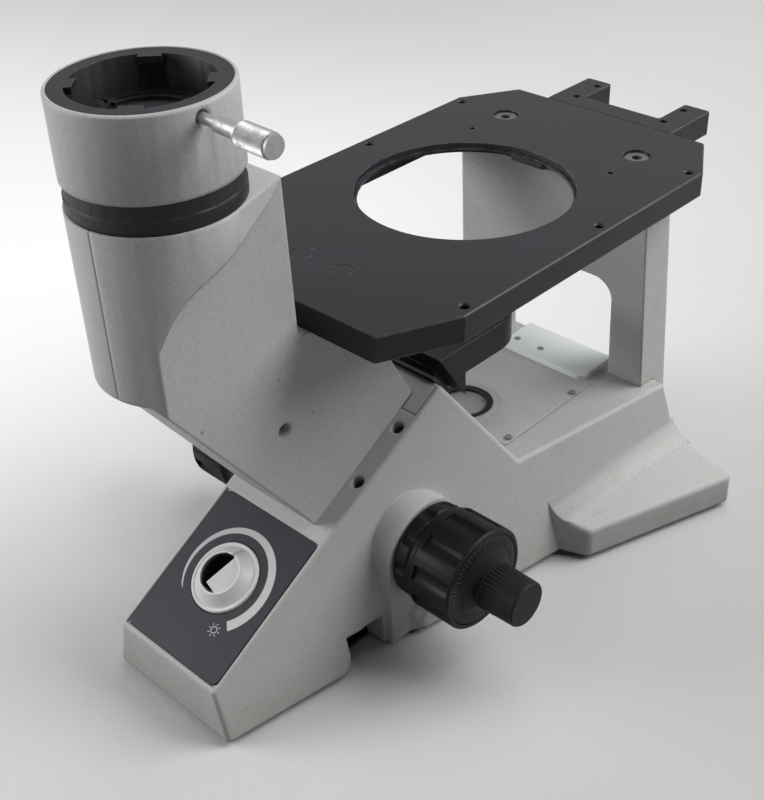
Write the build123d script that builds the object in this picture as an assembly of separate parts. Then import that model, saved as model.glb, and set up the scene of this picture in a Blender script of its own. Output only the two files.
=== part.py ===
"""Inverted microscope stand, in millimetres.

X points to the user's right, Y away from the user, Z up. The pieces are drawn from the optical axis of the
stage, then moved along Y by CENTRE_Y, so that the origin lies on the table under the middle of the stand.
"""
import os
from math import acos, atan2, cos, degrees, radians, sin, sqrt, tan

from build123d import *

os.makedirs("parts", exist_ok=True)

# Stage plate
STAGE_W = 160.0
STAGE_L = 250.0
STAGE_T = 12.6
STAGE_TOP = 193.0
STAGE_FRONT = -130.3
STAGE_HOLE_R = 55.0
STAGE_LEDGE = 1.6
RIM_T = 4.6
POCKET = (60.0, 65.0)
FRONT_CUT = (17.0, 37.2)
REAR_CUT = (18.8, 31.1)

# Base casting
WALL = 4.5
FOOT_H = 2.0
COVER_T = 1.5
SLOPE_DEG = 30.1
SLOPE_Z0 = 154.8
BASE_FRONT = -214.0
APEX_Y = -58.5
VALLEY_Y = -20.9
DECK_Z = 64.0
DECK_REAR = 87.1
BASE_REAR = 93.7
FLANK_X0 = 74.95
FLANK_PLAN = 0.155
FLANK_LEAN = 0.245
FOOT_EDGE_H = 20.0
FOOT_RISE = 0.36
FOOT_BLEND = 10.0
FOOT_ROUND = 5.0

# Focus drive
FOCUS_Y = -92.8
FOCUS_Z = 52.7
BOSS_R = 25.0
BOSS_X = 54.4
SHAFT_R = 5.0
FINE_SHAFT_R = 2.5
COARSE_R = 26.5
COARSE_FRONT = 92.0
FINE_R = 12.2
FINE_END = 117.9
FIT = 0.05

# Arm, drum and tube ring
TUBE_Y = -180.9
DRUM_R = 36.0
DRUM_LOW = 181.0
DRUM_TOP = 256.0
ARM_HALF = 24.0
ARM_FOOT_FRONT = -136.0
ARM_FOOT_REAR = -66.9
SPACER_H = 12.4
RING_R = 35.8
RING_H = 33.8
SOCKET_R = 28.0
SCREW_DROP = 5.2
SCREW_DEG = -2.0

# Panel
PANEL_W = 65.0
PANEL_L = 80.0
PANEL_MID_Y = -176.9
DIAL_Y = -174.0
DIAL_R = 18.0

# Nosepiece carriage
CARRIAGE_HALF = 25.0
CARRIAGE_TOP = 124.8
CARRIAGE_T = 16.3
CARRIAGE_FRONT = -47.4

# Portal
PORTAL_FRONT = 75.2
PORTAL_LEAN = 5.5
PORTAL_HALF = 64.5
PORTAL_TAPER = 3.0
ARCH_HALF = 42.5
ARCH_TOP = 124.0

# Values that follow from the sizes above
STAGE_LOW = STAGE_TOP - STAGE_T
STAGE_REAR = STAGE_FRONT + STAGE_L
BASE_LOW = FOOT_H + COVER_T
BRACKET_REACH = 39.0
SPACER_TOP = DRUM_TOP + SPACER_H
RING_TOP = SPACER_TOP + RING_H
SCREW_Z = RING_TOP - SCREW_DROP
CENTRE_Y = -(TUBE_Y - DRUM_R + STAGE_REAR + BRACKET_REACH) / 2
SLOPE = tan(radians(SLOPE_DEG))
RUN = (VALLEY_Y - APEX_Y) / (SLOPE_Z0 + SLOPE * APEX_Y - DECK_Z)


def slope_z(y):
    return SLOPE_Z0 + SLOPE * y


def flank_x(y, z):
    return FLANK_X0 + FLANK_PLAN * y - FLANK_LEAN * z


def rear_y(z):
    return BASE_REAR + (DECK_REAR - BASE_REAR) * (z - BASE_LOW) / (DECK_Z - BASE_LOW)


def ridge_y(z):
    return APEX_Y + (slope_z(APEX_Y) - z) * RUN


def block(x0, x1, y0, y1, z0, z1):
    centre = Pos((x0 + x1) / 2, (y0 + y1) / 2, (z0 + z1) / 2)
    return centre * Box(x1 - x0, y1 - y0, z1 - z0)


def post(x, y, z0, z1, r):
    return Pos(x, y, (z0 + z1) / 2) * Cylinder(r, z1 - z0)


def axle(y, z, x0, x1, r):
    return Pos((x0 + x1) / 2, y, z) * Rot(0, 90, 0) * Cylinder(r, x1 - x0)


def prism_x(points, x0, x1):
    face = Plane.YZ * make_face(Polyline(*points, close=True))
    return Pos(x0, 0, 0) * extrude(face, amount=x1 - x0)


def prism_z(points, z0, z1):
    face = make_face(Polyline(*points, close=True))
    return Pos(0, 0, z0) * extrude(face, amount=z1 - z0)


def inset(points, amounts):
    """Moves each side of a counter-clockwise outline inwards by its own amount."""
    lines = []
    for index, (ax, ay) in enumerate(points):
        bx, by = points[(index + 1) % len(points)]
        dx, dy = bx - ax, by - ay
        size = sqrt(dx * dx + dy * dy)
        shift = amounts[index] / size
        lines.append((ax - dy * shift, ay + dx * shift, dx, dy))
    result = []
    for index, (qx, qy, ex, ey) in enumerate(lines):
        px, py, dx, dy = lines[index - 1]
        along = ((qx - px) * ey - (qy - py) * ex) / (dx * ey - dy * ex)
        result.append((px + along * dx, py + along * dy))
    return result


def both(shape):
    return [shape, mirror(shape, about=Plane.YZ)]


def save(shape, name):
    """Writes one piece, or a set of like pieces, moved to the stand's own origin."""
    pieces = shape if isinstance(shape, list) else [shape]
    solids = [Pos(0, CENTRE_Y, 0) * piece.solid() for piece in pieces]
    whole = solids[0] if len(solids) == 1 else Compound(children=solids)
    export_step(whole, "parts/" + name + ".step")


def slope_plane(y):
    """Frame on the front slope: X across, Y up the slope, Z out of it."""
    a = radians(SLOPE_DEG)
    return Plane(origin=(0, y, slope_z(y)), x_dir=(1, 0, 0), z_dir=(0, -sin(a), cos(a)))


# Base casting: side outline cut to the leaning flanks, flared feet, hollow from below
side = [
    (BASE_FRONT, BASE_LOW),
    (BASE_REAR, BASE_LOW),
    (DECK_REAR, DECK_Z),
    (VALLEY_Y, DECK_Z),
    (APEX_Y, slope_z(APEX_Y)),
    (BASE_FRONT, slope_z(BASE_FRONT)),
]


def wedge(indent, z0, z1):
    y0 = BASE_FRONT - 12.0
    y1 = BASE_REAR + 12.0
    faces = []
    for z in (z0, z1):
        a = flank_x(y0, z) - indent
        b = flank_x(y1, z) - indent
        outline = Polyline((a, y0), (b, y1), (-b, y1), (-a, y0), close=True)
        faces.append(Pos(0, 0, z) * make_face(outline))
    return loft(faces, ruled=True)


ridge_top = slope_z(APEX_Y) + 4.0
core = prism_x(side, -130, 130) & wedge(0.0, 0.0, ridge_top)


def on_side_edges(edge):
    mid = edge.center()
    low = edge.bounding_box().max.Z < BASE_LOW + 0.1
    valley = abs(mid.Y - VALLEY_Y) < 1.0 and abs(mid.Z - DECK_Z) < 1.0
    return not low and not valley


core = fillet(core.edges().filter_by(on_side_edges), 2.5)

foot_plan = [
    (50.0, -12.0),
    (flank_x(-6.0, BASE_LOW) - 1.0, -6.4),
    (88.0, 0.0),
    (120.2, BASE_REAR),
    (50.0, BASE_REAR),
]
edge_dx = foot_plan[3][0] - foot_plan[2][0]
edge_dy = foot_plan[3][1] - foot_plan[2][1]
edge_len = sqrt(edge_dx * edge_dx + edge_dy * edge_dy)
edge_dir = (edge_dx / edge_len, edge_dy / edge_len, 0.0)
foot_up = (FOOT_RISE * edge_dir[1], -FOOT_RISE * edge_dir[0], 1.0)
rear_lean = atan2(BASE_REAR - DECK_REAR, DECK_Z - BASE_LOW)
rear_out = (0.0, cos(rear_lean), sin(rear_lean))


def foot(indent, drop):
    """One flared foot: plan outline below a sloping top that rises towards the flank."""
    rear = indent + 3.0 if indent > 0 else 0.0
    outline = inset(foot_plan, [0.0, indent, indent, rear, 0.0])
    if indent > 0:
        outline = [(foot_plan[0][0], outline[2][1])] + outline[2:]
    plan = make_face(Polyline(*outline, close=True))
    if indent == 0:
        plan = fillet(plan.vertices().filter_by(lambda v: v.X > 80.0), FOOT_ROUND)
    solid = Pos(0, 0, BASE_LOW - drop) * extrude(plan, amount=DECK_Z)
    corner = (foot_plan[2][0], foot_plan[2][1], FOOT_EDGE_H - drop)
    roof = Plane(origin=corner, x_dir=edge_dir, z_dir=foot_up)
    solid = split(solid, bisect_by=roof, keep=Keep.BOTTOM)
    if indent > 0:
        return solid
    back = Plane(origin=(0, BASE_REAR, BASE_LOW), x_dir=(1, 0, 0), z_dir=rear_out)
    return split(solid, bisect_by=back, keep=Keep.BOTTOM)


def crease_point(y):
    """Point where the flank meets the sloping top of the foot."""
    corner_x, corner_y = foot_plan[2]
    reach = FLANK_X0 + FLANK_PLAN * y - corner_x
    rise = FOOT_EDGE_H - foot_up[0] * reach - foot_up[1] * (y - corner_y)
    z = rise / (1 - foot_up[0] * FLANK_LEAN)
    return Vector(flank_x(y, z), y, z)


def crease_blend(size):
    """Hollow blend between flank and foot, cut off at the nose and the rear face of the foot."""
    start = crease_point(-40.0)
    along = crease_point(BASE_REAR + 10.0) - start
    flank_out = Vector(1.0, -FLANK_PLAN, FLANK_LEAN).normalized()
    roof_out = Vector(*foot_up).normalized()
    outward = along.cross(roof_out).normalized()
    upward = flank_out.cross(along).normalized()
    middle = (outward + upward).normalized()
    half_cos = middle.dot(outward)
    radius = size * sqrt(1 - half_cos * half_cos) / half_cos
    first = start + outward * size - roof_out * 0.1
    last = start + upward * size - flank_out * 0.1
    arc = ThreePointArc(first, start + middle * (size / half_cos - radius), last)
    inside = start - middle * 4.0
    face = make_face([arc, Line(last, inside), Line(inside, first)])
    bar = extrude(face, amount=along.length, dir=along.normalized())
    plan = make_face(Polyline(*foot_plan, close=True))
    bar = bar & Pos(0, 0, BASE_LOW) * extrude(plan, amount=DECK_Z)
    back = Plane(origin=(0, BASE_REAR, BASE_LOW), x_dir=(1, 0, 0), z_dir=rear_out)
    return split(bar, bisect_by=back, keep=Keep.BOTTOM)


def is_rim(edge):
    low = edge.bounding_box().min.Z
    return low > BASE_LOW + 5.0 and edge.center().X > 70.0 and abs((edge % 0.5).Z) < 0.9


scoop = both(post(108.3, -130.8, 0, 70, 59.6))
shell = core - scoop
outer_foot = foot(0.0, 0.0)
outer_foot = fillet(outer_foot.edges().filter_by(is_rim), 3.0)
outer_foot = outer_foot + crease_blend(FOOT_BLEND)
for wing in both(outer_foot):
    shell = shell + wing

inner_side = inset(side, [0.0, WALL, WALL, WALL, WALL, WALL])
inner_side = [(inner_side[0][0], 0.0), (inner_side[1][0], 0.0)] + inner_side[2:]
cavity = prism_x(inner_side, -130, 130) & wedge(WALL, 0.0, ridge_top)
for wing in both(foot(WALL, WALL)):
    cavity = cavity + (wing & block(-130, 130, 4, BASE_REAR, 0, DECK_Z))
NOTCH = (-142.5, -119.0, 21.7)
for jamb in both(block(38, 80, NOTCH[0] - 6, NOTCH[0], 0, 40)):
    cavity = cavity - jamb
for jamb in both(block(38, 80, NOTCH[1], NOTCH[1] + 6, 0, 40)):
    cavity = cavity - jamb
base = shell - cavity
for opening in both(block(36, 80, NOTCH[0], NOTCH[1], 0, NOTCH[2])):
    base = base - opening

# Focus bosses, guide pads and screw pillars inside
boss = axle(FOCUS_Y, FOCUS_Z, 38, BOSS_X, BOSS_R)
boss = boss + block(46, BOSS_X, FOCUS_Y - BOSS_R, FOCUS_Y + BOSS_R, BASE_LOW, FOCUS_Z)
boss = boss & prism_x([(-200, BASE_LOW), (60, BASE_LOW), (60, 90), (-200, 90)], 0, BOSS_X)
GUIDE_HALF = 24.0
pad = block(GUIDE_HALF, 60, -78, -66, 58, 84) & core
COVER_SCREWS = [(41.0, -168.0), (56.0, -62.0), (70.0, 22.0)]
pillars = [post(x, y, BASE_LOW, BASE_LOW + 27, 4.0) & core for x, y in COVER_SCREWS]
for extra in [boss, pad] + pillars:
    for piece in both(extra):
        base = base + piece

BOLT_SPOTS = [(29.3, -111.6), (29.3, -83.3)]
for x, y in BOLT_SPOTS:
    pillar = slope_plane(y) * Pos(x, 0, -9) * Cylinder(5.5, 16)
    for piece in both(pillar & core):
        base = base + piece

# Openings of the base
for x, y in BOLT_SPOTS:
    well = slope_plane(y) * Pos(x, 0, -2) * Cylinder(3.3, 12)
    shank = slope_plane(y) * Pos(x, 0, -11) * Cylinder(1.9 + FIT, 12)
    for piece in both(well) + both(shank):
        base = base - piece
for x, y in COVER_SCREWS:
    for piece in both(post(x, y, 0, 16, 1.5 + FIT)):
        base = base - piece
base = base - axle(FOCUS_Y, FOCUS_Z, -80, 80, 11.0)
panel_frame = slope_plane(PANEL_MID_Y)
base = base - panel_frame * Pos(0, 0, 0) * Box(PANEL_W + 0.6, PANEL_L + 0.6, 1.6)
base = base - slope_plane(DIAL_Y) * Cylinder(DIAL_R + 1.0, 30)
ARM_WELL = (-124.0, -88.0)
base = base - prism_x(
    [
        (ARM_WELL[0], slope_z(ARM_WELL[0]) - 12),
        (ARM_WELL[1], slope_z(ARM_WELL[1]) - 12),
        (ARM_WELL[1], slope_z(ARM_WELL[1]) + 5),
        (ARM_WELL[0], slope_z(ARM_WELL[0]) + 5),
    ],
    -14,
    14,
)
SLOT = (15.5, 78.0, 110.0)
slot_side = [
    (ridge_y(SLOT[1]) - 14, SLOT[1]),
    (ridge_y(SLOT[1]) + 6, SLOT[1]),
    (ridge_y(SLOT[2]) + 6, SLOT[2]),
    (ridge_y(SLOT[2]) - 14, SLOT[2]),
]
base = base - prism_x(slot_side, -SLOT[0], SLOT[0])
DECK_COVER_T = 1.5
DECK_COVER = (42.0, -16.0, PORTAL_FRONT - 1.2)
deck_seat = block(-DECK_COVER[0], DECK_COVER[0], DECK_COVER[1], DECK_COVER[2], 0, 9)
base = base - Pos(0, 0, DECK_Z - DECK_COVER_T) * deck_seat
PORT_FLANGE_R = 18.5
base = base - post(0, 0, 40, 80, PORT_FLANGE_R + FIT)

# Ridge cover seat: a shallow step round the arm below the ridge
COVER_HALF = 33.4
RIDGE_COVER = (-75.3, APEX_Y - 1.2)
RIDGE_COVER_T = 2.0


def on_slope(y0, y1, x0, x1, depth, rise):
    middle = (y0 + y1) / 2
    length = (y1 - y0) / cos(radians(SLOPE_DEG))
    box = Box(x1 - x0, length, depth + rise)
    return slope_plane(middle) * Pos((x0 + x1) / 2, 0, (rise - depth) / 2) * box


seat = on_slope(RIDGE_COVER[0], RIDGE_COVER[1], -COVER_HALF, COVER_HALF, RIDGE_COVER_T, 8)
base = base - seat

# Inlet opening in the rear wall
INLET = (-20.0, 30.0)
inlet_frame = Plane(
    origin=(INLET[0], rear_y(INLET[1]), INLET[1]), x_dir=(-1, 0, 0), z_dir=rear_out
)
base = base - inlet_frame * Pos(0, 0, -4) * Box(27.4, 20.2, 20)

# Bolt holes for the deck screws and the rear plate
DECK_SCREWS = [(39.3, -9.5), (39.3, 46.0)]
for x, y in DECK_SCREWS:
    for piece in both(post(x, y, DECK_Z - 4, DECK_Z + 2, 1.0 + FIT)):
        base = base - piece
REAR_PLATE = (-22.2, 36.7, 58.4, DECK_REAR - 0.4)
REAR_PLATE_T = 3.0
PLATE_SCREWS = [(0.5, 67.4), (-16.4, 67.4)]
for x, y in PLATE_SCREWS:
    base = base - post(x, y, DECK_Z - 4, DECK_Z + 2, 1.2 + FIT)
save(base, "base_casting")

# Bottom cover, feet and its screws
right_edge = [
    (flank_x(BASE_FRONT, BASE_LOW) - 2.5, BASE_FRONT + 2.5),
    (flank_x(-158, BASE_LOW) - 2.5, -158.0),
    (39.0, NOTCH[0] - 1.0),
    (39.0, NOTCH[1] + 1.0),
    (flank_x(-104, BASE_LOW) - 2.5, -104.0),
    (flank_x(-9, BASE_LOW) - 2.5, -9.0),
    (foot_plan[2][0] - 2.5, foot_plan[2][1] + 1.0),
    (foot_plan[3][0] - 4.5, BASE_REAR - 8.0),
    (foot_plan[3][0] - 9.0, BASE_REAR - 2.5),
]
plate_outline = right_edge + [(-x, y) for x, y in reversed(right_edge)]
bottom = prism_z(plate_outline, FOOT_H, BASE_LOW)
for x, y in COVER_SCREWS:
    for piece in both(post(x, y, 0, 10, 1.5 + FIT)):
        bottom = bottom - piece
bottom = bottom - [block(-20 + 8 * i, -16 + 8 * i, -60, -20, 0, 10) for i in range(6)]
save(bottom, "bottom_cover")

FEET = [(100.0, 78.0), (30.0, -198.0)]
feet = []
for x, y in FEET:
    pad_solid = post(x, y, 0, FOOT_H, 9.0)
    pad_solid = chamfer(pad_solid.edges().group_by(Axis.Z)[0], 0.7)
    feet += both(pad_solid)
save(feet, "base_feet")

screws = []
for x, y in COVER_SCREWS:
    screw = post(x, y, FOOT_H - 1.3, FOOT_H, 2.8) + post(x, y, FOOT_H, 14, 1.5)
    screw = screw - block(x - 0.4, x + 0.4, y - 4, y + 4, FOOT_H - 2, FOOT_H - 0.6)
    screws += both(screw)
save(screws, "bottom_screws")

# Panel plate with the dial hole
PLATE_T = 1.2
plate = RectangleRounded(PANEL_W, PANEL_L, 4.0)
plate = extrude(plate, amount=PLATE_T)
plate = panel_frame * Pos(0, 0, -0.8) * plate
plate = plate - slope_plane(DIAL_Y) * Cylinder(DIAL_R + 0.4, 10)
plate = chamfer(plate.faces().sort_by(lambda f: f.center().Z - SLOPE * f.center().Y)[-1].edges(), 0.25)
save(plate, "panel_plate")

# Light dial: raised cone with a finger well, half of it open and half filled by the grip
dial_frame = slope_plane(DIAL_Y)
DIAL_WELL_R = 10.2
DIAL_H = 6.4
HUB_R = 2.0
GRIP_DEG = -17.0
dial_outline = [
    (0.0, -4.0),
    (DIAL_R, -4.0),
    (DIAL_R, 0.9),
    (DIAL_R - 0.6, 1.5),
    (DIAL_R - 1.5, 1.5),
    (DIAL_R - 2.0, 1.1),
    (DIAL_WELL_R + 0.8, DIAL_H),
    (DIAL_WELL_R, DIAL_H),
    (DIAL_WELL_R - 0.3, -2.6),
    (0.0, -2.6),
]
dial = revolve(Plane.XZ * make_face(Polyline(*dial_outline, close=True)), Axis.Z)
well = Cylinder(DIAL_WELL_R - 0.5, 20)
open_half = well & Pos(-1.4 - DIAL_R, 0, 0) * Box(2 * DIAL_R, 60, 20)
dial = dial - Rot(0, 0, GRIP_DEG) * (open_half - Cylinder(HUB_R + 1.0, 20))
grip_outline = [
    (-1.4, -3.0),
    (DIAL_WELL_R, -3.0),
    (DIAL_WELL_R, DIAL_H - 2.4),
    (-0.4, DIAL_H - 0.6),
    (-1.4, DIAL_H - 0.9),
]
grip_face = Plane.XZ * make_face(Polyline(*grip_outline, close=True))
grip = Pos(0, DIAL_WELL_R, 0) * extrude(grip_face, amount=2 * DIAL_WELL_R - 2.6)
grip = grip & Pos(0, 0, 0) * Cylinder(DIAL_WELL_R - 0.1, 20)
rib_outline = [
    (DIAL_WELL_R - 0.4, 1.0),
    (DIAL_R - 2.6, 1.0),
    (DIAL_R - 3.4, 3.6),
    (DIAL_WELL_R + 0.6, DIAL_H + 0.7),
    (DIAL_WELL_R - 0.4, DIAL_H + 0.7),
]
rib_face = Plane.XZ * make_face(Polyline(*rib_outline, close=True))
rib = Rot(0, 0, 100) * Pos(0, 2.4, 0) * extrude(rib_face, amount=4.8)
dial = dial + Rot(0, 0, GRIP_DEG) * grip + rib
dial = dial - Pos(0, 0, -3.4) * Cylinder(HUB_R + FIT, 2.0)
save((dial_frame * dial), "light_dial")

# Rotary control on the inside of the slope
control = Pos(0, 0, -WALL - 1.0) * Cylinder(DIAL_R + 4.0, 2.0)
control = control + Pos(0, 0, -WALL - 8.0) * Cylinder(12.0, 12.0)
control = control + Pos(0, 0, -4.0) * Cylinder(HUB_R, 2.6)
control = control + Pos(0, -15.0, -WALL - 3.4) * Box(14, 8, 2.8)
save((dial_frame * control), "dial_control")

# Arm: flat web under the stage and the drum at its front
UNDER = (DRUM_LOW - 3.5 - slope_z(ARM_FOOT_FRONT)) / (-209.1 - ARM_FOOT_FRONT)


def under_z(y):
    return slope_z(ARM_FOOT_FRONT) + UNDER * (y - ARM_FOOT_FRONT)


low_y = ARM_FOOT_FRONT + (DRUM_LOW - slope_z(ARM_FOOT_FRONT)) / UNDER
ARM_BACK = -138.8
web_side = [
    (ARM_FOOT_FRONT, slope_z(ARM_FOOT_FRONT)),
    (ARM_FOOT_REAR, slope_z(ARM_FOOT_REAR)),
    (ARM_FOOT_REAR - 14.4, 142.7),
    (ARM_FOOT_REAR - 19.1, STAGE_LOW),
    (ARM_BACK + 2.2, STAGE_LOW),
    (ARM_BACK, DRUM_TOP),
    (low_y, DRUM_TOP),
    (low_y, DRUM_LOW),
]
web = prism_x(web_side, -ARM_HALF, ARM_HALF)
web_plan = block(-ARM_HALF, ARM_HALF, TUBE_Y, -40, 0, 300) + post(0, TUBE_Y, 0, 300, DRUM_R)
web = web & web_plan
tail_x = ARM_HALF
tail_y = ARM_BACK - TUBE_Y
reach = sqrt(tail_x * tail_x + tail_y * tail_y)
turn = atan2(tail_y, tail_x) - acos(DRUM_R / reach)
touch = (DRUM_R * cos(turn), TUBE_Y + DRUM_R * sin(turn))
tail_plan = [(0.0, TUBE_Y), touch, (ARM_HALF, ARM_BACK), (-ARM_HALF, ARM_BACK), (-touch[0], touch[1])]
head = post(0, TUBE_Y, DRUM_LOW, DRUM_TOP, DRUM_R) + prism_z(tail_plan, DRUM_LOW + 15, DRUM_TOP)
flat_y = TUBE_Y - sqrt(DRUM_R * DRUM_R - ARM_HALF * ARM_HALF)
sweep = Spline(
    (flat_y, DRUM_TOP - 54.0),
    (flat_y + 2.1, DRUM_TOP - 44.2),
    (flat_y + 10.2, DRUM_TOP - 29.0),
    (flat_y + 28.4, DRUM_TOP - 17.9),
    (flat_y + 52.0, DRUM_TOP - 9.3),
    (ARM_BACK + 0.6, DRUM_TOP),
    tangents=[(0, 1), (1, 0.9)],
)
cut_lines = [
    Line((flat_y, 140.0), (flat_y, DRUM_TOP - 54.0)),
    sweep,
    Line((ARM_BACK + 0.6, DRUM_TOP), (ARM_BACK + 30, DRUM_TOP)),
    Line((ARM_BACK + 30, DRUM_TOP), (ARM_BACK + 30, 140.0)),
    Line((ARM_BACK + 30, 140.0), (flat_y, 140.0)),
]
flank_cut = extrude(Plane.YZ * make_face(cut_lines), amount=30.0)
for piece in both(Pos(ARM_HALF, 0, 0) * flank_cut):
    head = head - piece
arm = web + head
BORE_R = 19.5
MIRROR_Z = 200.0
arm = arm - post(0, TUBE_Y, MIRROR_Z, DRUM_TOP + 5, BORE_R)
channel = [
    (ARM_WELL[0], slope_z(ARM_WELL[0]) - 3),
    (ARM_WELL[1], slope_z(ARM_WELL[1]) - 3),
    (-104.0, 140.0),
    (-122.0, 160.0),
    (-150.0, 172.0),
    (-164.0, MIRROR_Z + 1),
    (-196.0, MIRROR_Z + 1),
    (-188.0, 168.0),
    (-150.0, 114.0),
]
arm = arm - prism_x(channel, -14, 14)
arm = arm - axle(-148.8, 138.0, 8, 60, 3.4)
arm = arm - Pos(ARM_HALF, -148.8, 138.0) * Rot(0, 90, 0) * Cone(3.4, 4.3, 1.8)
# Sector cut for the front cover
COVER_ARC = (232.0, 277.6)
COVER_DEEP = 3.0


def sector(r0, r1, a0, a1, z0, z1):
    ring = post(0, 0, z0, z1, r1) - post(0, 0, z0 - 1, z1 + 1, r0)
    far = 3 * r1
    steps = 4
    corners = [(0.0, 0.0)]
    for index in range(steps + 1):
        angle = radians(a0 + (a1 - a0) * index / steps)
        corners.append((far * cos(angle), far * sin(angle)))
    return Pos(0, TUBE_Y, 0) * (ring & prism_z(corners, z0 - 1, z1 + 1))


COVER_IN = DRUM_R - COVER_DEEP
first, last = COVER_ARC
arm = arm - sector(COVER_IN, DRUM_R + 2, first - 0.3, last + 0.3, DRUM_LOW - 1, DRUM_TOP + 1)
front_cover = sector(COVER_IN, DRUM_R, first, last, DRUM_LOW, DRUM_TOP)
save(front_cover, "arm_front_cover")

STAGE_FRONT_BOLTS = (12.75, -98.6)
x, y = STAGE_FRONT_BOLTS
for piece in both(post(x, y, STAGE_LOW - 16, STAGE_LOW + 1, 2.5 + FIT)):
    arm = arm - piece
save(arm, "arm_casting")

bolts = []
for x, y in BOLT_SPOTS:
    bolt = Pos(x, 0, -6.2) * Cylinder(3.0, 3.6) + Pos(x, 0, -11.9) * Cylinder(1.9, 8.0)
    bolt = bolt - Pos(x, 0, -5.0) * extrude(RegularPolygon(1.5, 6), amount=2.0)
    bolts += both(slope_plane(y) * bolt)
save(bolts, "arm_bolts")

# Mirror block at the foot of the drum, with its mirror
mirror_seat = post(0, TUBE_Y, MIRROR_Z, MIRROR_Z + 26, BORE_R - FIT)
tilt = Plane(origin=(0, TUBE_Y, MIRROR_Z + 13), x_dir=(1, 0, 0), z_dir=(0, 0.55, 0.83))
mirror_seat = mirror_seat - tilt * Pos(0, 0, 30) * Box(80, 80, 60)
mirror_seat = mirror_seat - block(-11, 11, TUBE_Y + 9, TUBE_Y + 30, MIRROR_Z - 1, MIRROR_Z + 30)
save(mirror_seat, "arm_mirror_block")
save((tilt * Pos(0, -2, 1.0) * Box(22, 20, 2.0)), "arm_mirror")

# Spacer, tube ring, flange with lugs, lens and its retainer
SPACER_LIP = 2.4
spacer = post(0, TUBE_Y, DRUM_TOP, SPACER_TOP - 6.4, DRUM_R - 0.7)
spacer = spacer + post(0, TUBE_Y, SPACER_TOP - 6.4, SPACER_TOP, DRUM_R - 1.2)
spacer = spacer - post(0, TUBE_Y, DRUM_TOP - 1, SPACER_TOP - SPACER_LIP, BORE_R + 6.0)
spacer = spacer - post(0, TUBE_Y, DRUM_TOP - 1, SPACER_TOP + 1, BORE_R - 1.5)
save(spacer, "arm_spacer")

SLEEVE_R = SOCKET_R + 3.0
LENS_SEAT = RING_TOP - 22.0
FLANGE_LOW = RING_TOP - 2.2
screw_axis = Plane(
    origin=(0, TUBE_Y, SCREW_Z),
    x_dir=(0, 0, 1),
    z_dir=(cos(radians(SCREW_DEG)), sin(radians(SCREW_DEG)), 0),
)


def along_screw(r0, r1, radius):
    return screw_axis * Pos(0, 0, (r0 + r1) / 2) * Cylinder(radius, r1 - r0)


SCREW_R = 2.1
ring = post(0, TUBE_Y, SPACER_TOP, RING_TOP, RING_R)
ring = chamfer(ring.edges().group_by(Axis.Z)[-1], 0.8)
ring = ring - post(0, TUBE_Y, SPACER_TOP - 1, RING_TOP + 1, SLEEVE_R)
ring = ring - post(0, TUBE_Y, FLANGE_LOW, RING_TOP + 1, RING_R - 1.5)
ring = ring - along_screw(SLEEVE_R - 3, RING_R + 3, SCREW_R + FIT)
ring = ring - along_screw(RING_R - 1.6, RING_R + 3, SCREW_R + 1.0)
save(ring, "tube_ring")

flange = post(0, TUBE_Y, FLANGE_LOW, RING_TOP - 0.3, RING_R - 1.5 - FIT)
flange = flange + post(0, TUBE_Y, SPACER_TOP, FLANGE_LOW, SLEEVE_R - FIT)
flange = flange - post(0, TUBE_Y, LENS_SEAT, RING_TOP + 1, SOCKET_R)
flange = flange - post(0, TUBE_Y, SPACER_TOP - 1, RING_TOP + 1, SOCKET_R - 5.0)
for index in range(4):
    lug = block(SOCKET_R - 3.4, SOCKET_R + 1.0, -4.6, 4.6, FLANGE_LOW - 0.8, RING_TOP - 0.3)
    lug = lug & post(0, 0, 0, 400, SOCKET_R + 0.8)
    flange = flange + Pos(0, TUBE_Y, 0) * Rot(0, 0, 45 + 90 * index) * lug
flange = flange - along_screw(SOCKET_R - 3, SLEEVE_R + 1, SCREW_R + 0.35)
save(flange, "tube_flange")

LENS_R = SOCKET_R - 0.3
lens = post(0, TUBE_Y, LENS_SEAT, LENS_SEAT + 4.0, LENS_R)
dome = Pos(0, TUBE_Y, LENS_SEAT + 4.0 - 61.0) * Sphere(66.0)
lens = lens + (dome & post(0, TUBE_Y, LENS_SEAT + 3.0, LENS_SEAT + 12, 17.0))
save(lens, "tube_lens")
RETAINER_TOP = LENS_SEAT + 7.5
retainer = post(0, TUBE_Y, LENS_SEAT + 4.0, RETAINER_TOP, SOCKET_R - FIT)
retainer = retainer - post(0, TUBE_Y, LENS_SEAT, RETAINER_TOP + 5, 17.6)
retainer = retainer - post(0, TUBE_Y, RETAINER_TOP - 1.6, RETAINER_TOP + 5, 20.6)
groove = post(0, TUBE_Y, RETAINER_TOP - 0.8, RETAINER_TOP + 5, 24.6)
retainer = retainer - (groove - post(0, TUBE_Y, LENS_SEAT, RETAINER_TOP + 6, 22.8))
retainer = retainer - block(-30, 30, TUBE_Y - 0.8, TUBE_Y + 0.8, RETAINER_TOP - 1.7, RETAINER_TOP + 5)
save(retainer, "lens_retainer")

# Thumb screw with a knurled head
tip_r = SLEEVE_R - 1.6
screw = along_screw(tip_r, 44.5, SCREW_R) + along_screw(44.5, 56.5, 3.1)
teeth = 40
star = []
for index in range(teeth * 2):
    radius = 4.9 if index % 2 == 0 else 4.55
    angle = radians(180.0 * index / teeth)
    star.append((radius * cos(angle), radius * sin(angle)))
knurl = extrude(make_face(Polyline(*star, close=True)), amount=15.0)
screw = screw + screw_axis * Pos(0, 0, 58.0) * knurl
screw = screw + along_screw(56.5, 58.0, 4.3) + along_screw(73.0, 74.6, 4.3)
save(screw, "thumb_screw")

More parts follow.
